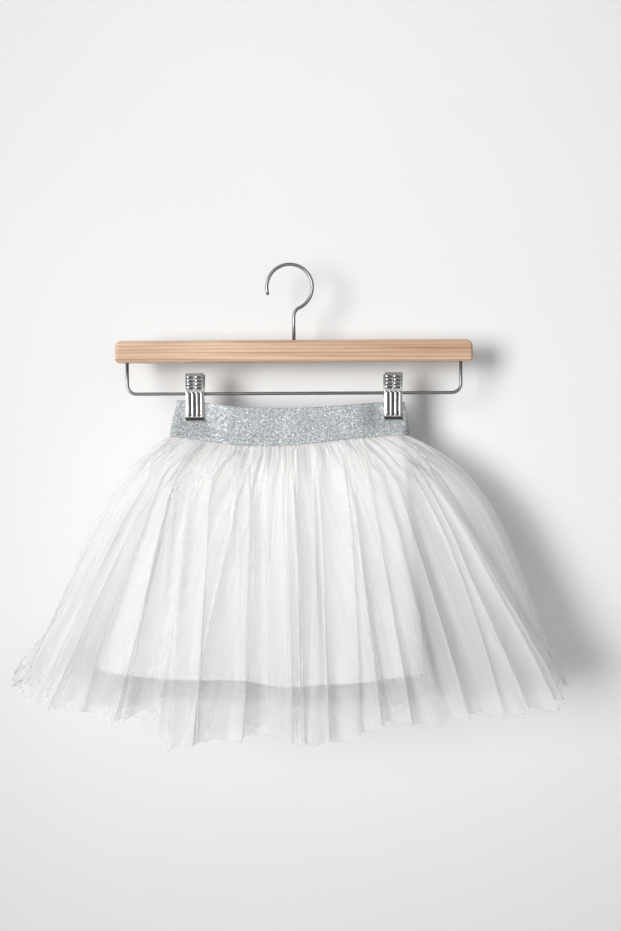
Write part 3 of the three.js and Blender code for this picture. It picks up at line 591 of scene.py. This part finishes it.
def band_surface(share, down, off):
    """The waistband's mid-wall moved off along its own outward normal, with soft dents between the clips."""
    x = np.empty((len(down), len(share)))
    y = np.empty_like(x)
    for row, d in enumerate(down):
        bx, by = band_loop(d, 0, share)
        nx, ny, _, _ = outward_normal(bx, by)
        x[row], y[row] = bx + nx * off[row], by + ny * off[row]
    z = mix(through(BAND_TOP_LINE, x), through(BAND_FOOT_LINE, x), down[:, None])
    dent = 0.35 * wander(share, 34, 5) * np.sin(math.pi * down)[:, None]
    y = y + np.where(share < 0.5, -1, 1) * dent * (np.abs(np.abs(x) - 91) > 20)
    return np.stack([x, y, z], axis=-1)


def waistband():
    """A double strip: up the outside, over a rounded fold, down the inside and round the foot. The topstitching
    presses a shallow groove round it."""
    share = np.arange(BAND_ROUND) / BAND_ROUND
    half = BAND_WALL / 2
    edge = np.linspace(0, math.pi, 9)[1:-1]
    down = np.linspace(0, 1, BAND_DOWN)
    groove = 0.5 * np.exp(-(((down - STITCH_DOWN) / 0.022) ** 2)) + 0.3 * np.exp(-(((down - 0.965) / 0.025) ** 2))
    outside = band_surface(share, down, half - groove)
    inside = band_surface(share, down[::-1], np.full(BAND_DOWN, -half))
    foot_round = band_surface(share, 1 + 0.02 * np.sin(edge), half * np.cos(edge))
    top_round = band_surface(share, -0.028 * np.sin(edge), -half * np.cos(edge))
    points = np.concatenate([outside, foot_round, inside, top_round])
    rows = len(points)
    run = np.arange(rows) / rows
    u = share[None, :] * 0.44 * np.ones((rows, 1))
    v = run[:, None] * 0.07 * np.ones((1, BAND_ROUND))
    faces = grid_faces(rows, BAND_ROUND, True, closed_rows=True)
    piece = make_piece("waistband_knit", points, faces, band_finish, uv=np.stack([u, v], -1))
    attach(piece, "root")
    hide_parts("waistband")


def topstitching():
    """Short stitches in the band's groove: each is a six-sided thread whose middle stands proud by a sine and whose
    ends dip into the knit."""
    fine = 2640
    share = np.arange(fine) / fine
    around = band_surface(share, np.array([STITCH_DOWN]), np.array([BAND_WALL / 2 - 0.5]))[0]
    heading = np.roll(around, -1, axis=0) - np.roll(around, 1, axis=0)
    heading /= np.linalg.norm(heading, axis=1, keepdims=True)
    out = np.stack([heading[:, 1], -heading[:, 0], np.zeros(fine)], axis=-1)
    out /= np.linalg.norm(out, axis=1, keepdims=True)
    across = np.cross(heading, out)
    stitches, stations, sides = 165, 7, 6
    along = np.linspace(0, 1, stations)
    at = (np.arange(stitches)[:, None] * 16 + np.round(along * 12).astype(int)[None, :]) % fine
    angle = 2 * math.pi * np.arange(sides) / sides
    proud = (0.42 * np.sin(math.pi * along) - 0.2)[None, :, None, None] * out[at][:, :, None, :]
    thick = (0.08 + 0.2 * np.sin(math.pi * along) ** 0.5)[None, :, None, None]
    ring = np.cos(angle)[:, None] * out[at][:, :, None, :] + np.sin(angle)[:, None] * across[at][:, :, None, :]
    points = around[at][:, :, None, :] + proud + thick * ring
    one = np.concatenate([grid_faces(stations, sides, True), lid(np.arange(sides)),
                          lid((stations - 1) * sides + np.arange(sides)[::-1])])
    faces = (np.arange(stitches)[:, None, None] * stations * sides + one[None]).reshape(-1, 4)
    piece = make_piece("waistband_topstitching", points, faces, thread_finish)
    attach(piece, "root")


topstitching()
waistband()

# ---- Hanger ----------------------------------------------------------------------------------------------------

WIRE = dict(radius=1.5, sides=24)
HOOK = dict(bend=21, centre_x=-3.7, centre_z=-19.15, neck=9, tip=200)
BAR = dict(half=164, height=20.2, depth=13, top=-68.3, top_corner=6, foot_corner=3.2, edge=2.4)
RAIL = dict(height=-117, half_span=153.5, bend=8.5)
SOCKET_DEPTH = 12
JAW_PROFILE = [(-142.2, 5), (-140.4, 3.8), (-137.6, 3.05), (-127, 3.05), (-123, 3.5), (-113, 4.6), (-99, 7.6)]
JAW = dict(half_width=8.5, sheet=1, corner=1.3)
LOUVRES = dict(tops=(-102.6, -105.8, -109.0, -112.2), columns=(-3.7, 3.7), half=3.0, hood=1.5, slot=1.15)
RIBS = dict(centres=(-6.2, -2.1, 2.1, 6.2), half=1.3, top=-115.6, foot=-138.6, proud=0.75)
CHEEK = dict(reach=2.3, above=5.5, below=5, lean_out=4.187, lean=(-0.9924, -0.1229), bore=1.8)


def arc(x, z, radius, start, stop, steps):
    """Stations on an arc in the plane y = 0: the centre plus the radius times cosine and sine, and the heading."""
    angle = np.radians(np.linspace(start, stop, steps + 1))
    turn = np.sign(stop - start)
    return np.stack([x + radius * np.cos(angle), z + radius * np.sin(angle), -turn * np.sin(angle),
                     turn * np.cos(angle)], axis=-1)


def wire(name, stations, node, round_tip):
    """A round wire: a circle square to the heading at each station, closed at its ends. A round tip adds rings whose
    radius falls with the cosine as they go on by the sine."""
    stations = np.asarray(stations, dtype=float)
    radius = np.full(len(stations), WIRE["radius"])
    if round_tip:
        turn = np.linspace(0, 0.48 * math.pi, 7)[1:]
        last = stations[-1]
        dome = np.tile(last, (len(turn), 1))
        dome[:, :2] += WIRE["radius"] * (np.sin(turn)[:, None] - 1) * last[2:]
        before = last - np.concatenate([last[2:] * WIRE["radius"], [0, 0]])
        stations = np.concatenate([stations[:-1], before[None], dome])
        radius = np.concatenate([radius, WIRE["radius"] * np.cos(turn)])
    angle = 2 * math.pi * np.arange(WIRE["sides"]) / WIRE["sides"]
    x, z, hx, hz = stations.T[:, :, None]
    r = radius[:, None]
    points = np.stack([x + r * np.sin(angle) * hz, r * np.cos(angle) + 0 * x, z - r * np.sin(angle) * hx], axis=-1)
    ring = np.arange(WIRE["sides"])
    faces = np.concatenate([grid_faces(len(stations), WIRE["sides"], True), lid(ring),
                            lid((len(stations) - 1) * WIRE["sides"] + ring[::-1])])
    piece = make_piece(name, points, faces, wire_finish)
    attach(piece, "root")
    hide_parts(node)


def hook():
    """Up out of the bar, out round the neck's small arc and over the crown's large one to the tip."""
    aside = HOOK["neck"] - HOOK["centre_x"]
    neck_z = HOOK["centre_z"] - math.sqrt((HOOK["neck"] + HOOK["bend"]) ** 2 - aside**2)
    meet = math.degrees(math.atan2(HOOK["centre_z"] - neck_z, -aside))
    stem = [[0, BAR["top"] - SOCKET_DEPTH, 0, 1]]
    wire("hook_wire", np.concatenate([stem, arc(HOOK["neck"], neck_z, HOOK["neck"], 180, meet, 12),
         arc(HOOK["centre_x"], HOOK["centre_z"], HOOK["bend"], meet - 180, HOOK["tip"], 72)[1:]]), "hanger_hook", True)


def rail():
    """Down out of the bar, round a bend, along under it, round the other bend and up into the bar again."""
    height, half, bend = RAIL["height"], RAIL["half_span"], RAIL["bend"]
    top = BAR["top"] - BAR["height"] + SOCKET_DEPTH
    wire("rail_wire", np.concatenate([[[-half, top, 0, -1]], arc(bend - half, height + bend, bend, 180, 270, 16),
         arc(half - bend, height + bend, bend, 270, 360, 16), [[half, top, 0, 1]]]), "hanger_rail", False)


def bar():
    """The wooden bar: a rounded rectangle carried along X. Near the ends its top, foot and sides draw in by quarter
    rounds: a corner of radius r takes r less the root of r squared less the square of what is left of r."""
    near = np.concatenate([[0, 0.05, 0.2, 0.45], np.linspace(0.8, 6.2, 14)])
    inner = np.linspace(12, BAR["half"], 14)
    from_end = np.concatenate([near, inner, np.linspace(BAR["half"], 12, 14)[1:], near[::-1]])
    middle = len(from_end) // 2
    x = np.where(np.arange(len(from_end)) <= middle, from_end - BAR["half"], BAR["half"] - from_end)
    taken = lambda r: r - np.sqrt(np.maximum(r**2 - np.maximum(r - from_end, 0) ** 2, 0))
    top = BAR["top"] - taken(BAR["top_corner"])
    foot = BAR["top"] - BAR["height"] + taken(BAR["foot_corner"])
    half = BAR["depth"] / 2 - taken(BAR["edge"])
    quarter = np.linspace(0, math.pi / 2, 7)
    flat = np.array([0.0, 0.04, 0.3, 0.7, 0.96, 1.0])[1:-1]
    # One ring from the top's middle round the back, foot and front, as shares of the flats plus steps of the arcs.
    corner = [(1, 1), (1, -1), (-1, -1), (-1, 1)]
    ring_y, ring_z, arc_y, arc_z = [], [], [], []
    for k, (sy, sz) in enumerate(corner):
        turn = quarter + k * math.pi / 2
        ring_y += [sy] * 7
        ring_z += [sz] * 7
        arc_y += list(np.sin(turn) - sy)
        arc_z += list(np.cos(turn) - sz)
        ny, nz = corner[(k + 1) % 4]
        ring_y += list(mix(sy, ny, flat))
        ring_z += list(mix(sz, nz, flat))
        arc_y += list(np.sin(turn[-1]) - mix(sy, ny, flat))
        arc_z += list(np.cos(turn[-1]) - mix(sz, nz, flat))
    ring_y, ring_z, arc_y, arc_z = (np.array(v, dtype=float) for v in (ring_y, ring_z, arc_y, arc_z))
    count = len(ring_y)
    roll = -(count - 2)  # so that the ring starts in the middle of the top's flat
    ring_y, ring_z, arc_y, arc_z = (np.roll(v, roll) for v in (ring_y, ring_z, arc_y, arc_z))
    y = half[:, None] * ring_y + BAR["edge"] * arc_y
    z = ((top + foot) / 2)[:, None] + ((top - foot) / 2)[:, None] * ring_z + BAR["edge"] * arc_z
    points = np.stack([np.broadcast_to(x[:, None], y.shape), y, z], axis=-1)
    around = np.arange(count)
    faces = np.concatenate([grid_faces(len(x), count, True), lid(around), lid((len(x) - 1) * count + around[::-1])])
    piece = make_piece("wooden_bar", points, faces, wood_finish)
    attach(piece, "root")
    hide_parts("hanger_bar")


def jaw(name, node, centre, side, cheek_x, pressed):
    """A clip's jaw: a bent sheet carried down its profile, and two cheeks pierced for the rail. On the front one the
    tab has hooded louvres and the grip has ribs, as heights added to its outer face: a hood rises as a smooth step to
    its slot and falls off into it, under an edge arched like a parabola, and a rib is one less the fourth power. The
    slots are shallow recesses; they and the grooves between the ribs take a near-black finish as painted shade."""
    z = np.concatenate([np.linspace(-98.5, -98.9, 4)[:-1], np.linspace(-98.9, -114, 76)[:-1],
                        np.linspace(-114, -117, 9)[:-1], np.linspace(-117, -137, 16)[:-1],
                        np.linspace(-137, -142.4, 18)])
    depth = through(JAW_PROFILE, np.clip(z, -142.2, -99))
    tangent_y, tangent_z = -np.gradient(depth, z) * -1, -np.ones_like(z)
    length = np.hypot(tangent_y, tangent_z)
    normal_y, normal_z = tangent_z / length, -tangent_y / length
    ends = np.minimum(np.abs(z - z[0]), np.abs(z[-1] - z))
    round_off = lambda r: r - np.sqrt(np.maximum(r**2 - np.maximum(r - ends, 0) ** 2, 0))
    wide = JAW["half_width"] - 0.3 - round_off(JAW["corner"]) * (np.abs(z - z[0]) < 6) - round_off(0.7) * (z < -138)
    half = JAW["sheet"] / 2 - 0.94 * round_off(0.5)
    across = np.linspace(-1, 1, 67 if pressed else 9)
    flat = np.zeros(len(across))
    edge = (np.arange(4) + 0.5) * math.pi / 4
    u = np.concatenate([-np.ones(2), across, np.ones(4), across[::-1], -np.ones(2)])
    turn = np.concatenate([edge[1::-1], flat, edge, flat + math.pi, edge[:1:-1]])
    bulge = np.concatenate([-np.sin(edge[1::-1]), flat, np.sin(edge), flat, -np.sin(edge[:1:-1])]) * 0.3
    x = wide[:, None] * u + bulge
    outer = (turn == 0)[None, :]
    off = half[:, None] * np.cos(turn)
    # The outer faces marked here, in the slots and between the ribs, take the near-black finish as painted shade.
    painted_shade_faces = np.zeros((len(z), len(u)), dtype=bool)
    if pressed:
        height = np.zeros_like(x)
        for column in LOUVRES["columns"]:
            bow = 1 - ((x - column) / LOUVRES["half"]) ** 2
            for lip in LOUVRES["tops"]:
                above = z[:, None] - (lip + 0.35 * bow)
                hood = np.clip(1 - above / LOUVRES["hood"], 0, 1) * (above >= 0)
                height += np.where(bow > 0, 0.75 * ease(hood) * np.sqrt(np.maximum(bow, 0)), 0)
                slot = (bow > 0.05) & (above < 0) & (above > -LOUVRES["slot"])
                height -= np.where(slot, 0.35, 0)
                painted_shade_faces |= slot & outer
        ribs = np.zeros_like(x)
        for middle in RIBS["centres"]:
            ribs = np.maximum(ribs, 1 - ((x - middle) / RIBS["half"]) ** 4)
        ends_in = ease((RIBS["top"] - z) / 1.2) * ease((z - RIBS["foot"]) / 0.9)
        height += RIBS["proud"] * ends_in[:, None] * ribs
        painted_shade_faces |= (ribs < 0.05) & (ends_in[:, None] > 0.5) & outer & (np.abs(x) < 6.2)
        off = off + height * outer
    y = -depth[:, None] + off * normal_y[:, None]
    zz = z[:, None] + off * normal_z[:, None]
    plate = np.stack([x, y, zz], axis=-1).reshape(-1, 3)
    count = len(u)
    ring = np.arange(count)
    faces = [grid_faces(len(z), count, True), lid(ring), lid((len(z) - 1) * count + ring[::-1])]
    points, first = [plate], len(plate)
    # A cheek: a ring round the bore whose outer edge is the nearest of the cheek's four straight sides.
    angle = 2 * math.pi * np.arange(72) / 72
    ry, rz = np.cos(angle), -np.sin(angle)
    lean_y, lean_z = CHEEK["lean"]
    far = lambda towards, limit: np.where(towards > 1e-3, limit / np.maximum(towards, 1e-3), 99)
    outline = np.minimum.reduce([far(ry, CHEEK["reach"]), far(rz, CHEEK["above"]), far(-rz, CHEEK["below"]),
                                 far(ry * lean_y + rz * lean_z, CHEEK["lean_out"])])
    bore = np.full(72, CHEEK["bore"])
    reach = np.stack([bore, outline - 0.15, outline, outline, outline - 0.15, bore])
    over = np.array([-0.5, -0.5, -0.35, 0.35, 0.5, 0.5])[:, None] * np.ones(72)
    for end in (-1, 1):
        points.append(np.stack([end * cheek_x + over, reach * ry, RAIL["height"] + reach * rz], axis=-1).reshape(-1, 3))
        faces.append(grid_faces(6, 72, True, closed_rows=True) + first)
        first += 6 * 72
    points, faces = np.concatenate(points), np.concatenate(faces)
    if side > 0:
        points = points * (1, -1, 1)
        faces = faces[:, ::-1]
    piece = make_piece(name, points + (centre, 0, 0), faces, clip_finish)
    # A second, near-black material for the slots and grooves: painted shade.
    piece.data.materials.append(painted_shade_finish)
    shaded = np.zeros(len(faces), dtype=np.int32)
    shaded[: (len(z) - 1) * count] = (painted_shade_faces[:-1] & painted_shade_faces[1:])[:, :].ravel()
    piece.data.polygons.foreach_set("material_index", shaded)
    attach(piece, "root")
    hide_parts(node)


def spring(name, node, centre):
    """A coil round the rail: a small circle carried along a helix of two and a half turns."""
    turns, radius, thick, length, steps, sides = 2.5, 2.6, 0.5, 8, 90, 12
    share = np.linspace(0, 1, steps)[:, None]
    angle = 2 * math.pi * turns * share
    path = np.concatenate([centre + (share - 0.5) * length, radius * np.cos(angle),
                           RAIL["height"] + radius * np.sin(angle)], 1)
    heading = np.concatenate([np.full((steps, 1), length), -2 * math.pi * turns * radius * np.sin(angle),
                              2 * math.pi * turns * radius * np.cos(angle)], 1)
    heading /= np.linalg.norm(heading, axis=1, keepdims=True)
    out = np.concatenate([0 * angle, np.cos(angle), np.sin(angle)], 1)
    side = np.cross(out, heading)
    around = 2 * math.pi * np.arange(sides) / sides
    turned = np.cos(around)[None, :, None] * out[:, None] + np.sin(around)[None, :, None] * side[:, None]
    points = path[:, None] + thick * turned
    ring = np.arange(sides)
    faces = np.concatenate([grid_faces(steps, sides, True), lid(ring), lid((steps - 1) * sides + ring[::-1])])
    piece = make_piece(name, points, faces, wire_finish)
    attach(piece, "root")
    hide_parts(node)


hook()
rail()
bar()
for place, centre in (("left", CLIP_X[0]), ("right", CLIP_X[1])):
    jaw(f"clip_{place}_pressed_jaw", f"clip_{place}_front_jaw", centre, -1, 8.0, True)
    jaw(f"clip_{place}_plain_jaw", f"clip_{place}_back_jaw", centre, 1, 6.7, False)
    spring(f"clip_{place}_coil", f"clip_{place}_spring", centre)

# ---- Stage, lights and camera ----------------------------------------------------------------------------------

WALL_Y = 46.0
FLOOR_Z = -1600.0


def backdrop():
    """A pale wall and floor joined by a quarter round: a profile in Y and Z carried along X. Its back isn't shown."""
    bend = 300.0
    angle = np.linspace(0, math.pi / 2, 24)
    y = np.concatenate([[WALL_Y, WALL_Y], WALL_Y - bend * (1 - np.cos(angle)), [-4000]])
    z = np.concatenate([[2600, 400], FLOOR_Z + bend - bend * np.sin(angle), [FLOOR_Z]])
    x = np.linspace(-3500, 3500, 8)
    points = np.stack(np.broadcast_arrays(x[None, :], y[:, None], z[:, None]), axis=-1)
    n = Nodes("painted_plaster")
    grain = n.noise(n.place(), 260.0, 4.0, 0.6)
    cloud = n.noise(n.place(), 2.2, 3.0)
    colour = n.ramp(cloud, [(0.3, (0.735, 0.733, 0.727)), (0.7, (0.755, 0.753, 0.747))])
    n.shade(Base_Color=colour, Roughness=0.9, Specular_IOR_Level=0.15, Normal=n.bump(grain, 0.0004, 0.35))
    behind = n.math("MAXIMUM", n.add("ShaderNodeNewGeometry").outputs["Backfacing"],
                    n.add("ShaderNodeLightPath").outputs["Is Shadow Ray"])
    clear = n.add("ShaderNodeBsdfTransparent").outputs[0]
    shown = n.add("ShaderNodeMixShader", {0: behind, 1: n.surface.outputs[0], 2: clear}).outputs[0]
    n.tree.links.new(shown, n.output.inputs["Surface"])
    make_piece("backdrop", points, grid_faces(len(y), len(x), False), n.material)


backdrop()


def area_light(name, at, size, power, colour, spread):
    """A soft rectangular light turned towards the skirt, with its spread in degrees."""
    data = bpy.data.lights.new(name, "AREA")
    data.shape = "RECTANGLE"
    data.size, data.size_y = size
    data.energy = power
    data.color = colour
    data.spread = math.radians(spread)
    lamp = bpy.data.objects.new(name, data)
    lamp.location = Vector(at)
    lamp.rotation_euler = (Vector(AIM) - Vector(at)).to_track_quat("-Z", "Y").to_euler()
    bpy.context.scene.collection.objects.link(lamp)


AIM = (0.15, 0, -0.03)
area_light("tall_window", at=(-1.6, -2.35, 0.06), size=(1.1, 1.8), power=11.6, colour=(1.0, 1.0, 1.0), spread=50)
area_light("front_card", at=(0.8, -2.9, 0.1), size=(3.2, 2.4), power=19.4, colour=(1.0, 1.0, 1.0), spread=180)
area_light("room_behind", at=(0.4, 2.4, 0.5), size=(2.0, 2.0), power=16.0, colour=(0.98, 0.99, 1.0), spread=180)

world = bpy.data.worlds.new("soft_room")
world.use_nodes = True
world.node_tree.nodes["Background"].inputs["Color"].default_value = (0.985, 0.99, 1.0, 1)
world.node_tree.nodes["Background"].inputs["Strength"].default_value = 0.07
scene = bpy.context.scene
scene.world = world
scene.view_settings.view_transform = "Standard"
scene.view_settings.look = "None"
scene.cycles.transparent_max_bounces = 32
scene.cycles.max_bounces = 6
scene.cycles.diffuse_bounces = 3

CAMERA_AT = (14.7, -1100.0, -183.5)
CAMERA_ROLL = 0.3  # degrees
camera_data = bpy.data.cameras.new("camera")
camera_data.sensor_width = 36
camera_data.lens = 46.2
camera = bpy.data.objects.new("camera", camera_data)
camera.location = [c * MM for c in CAMERA_AT]
camera.rotation_euler = (math.pi / 2, 0, 0)
level = camera.rotation_euler.to_matrix().to_4x4()
camera.rotation_euler = (Matrix.Rotation(math.radians(CAMERA_ROLL), 4, "Y") @ level).to_euler()
scene.collection.objects.link(camera)
scene.camera = camera
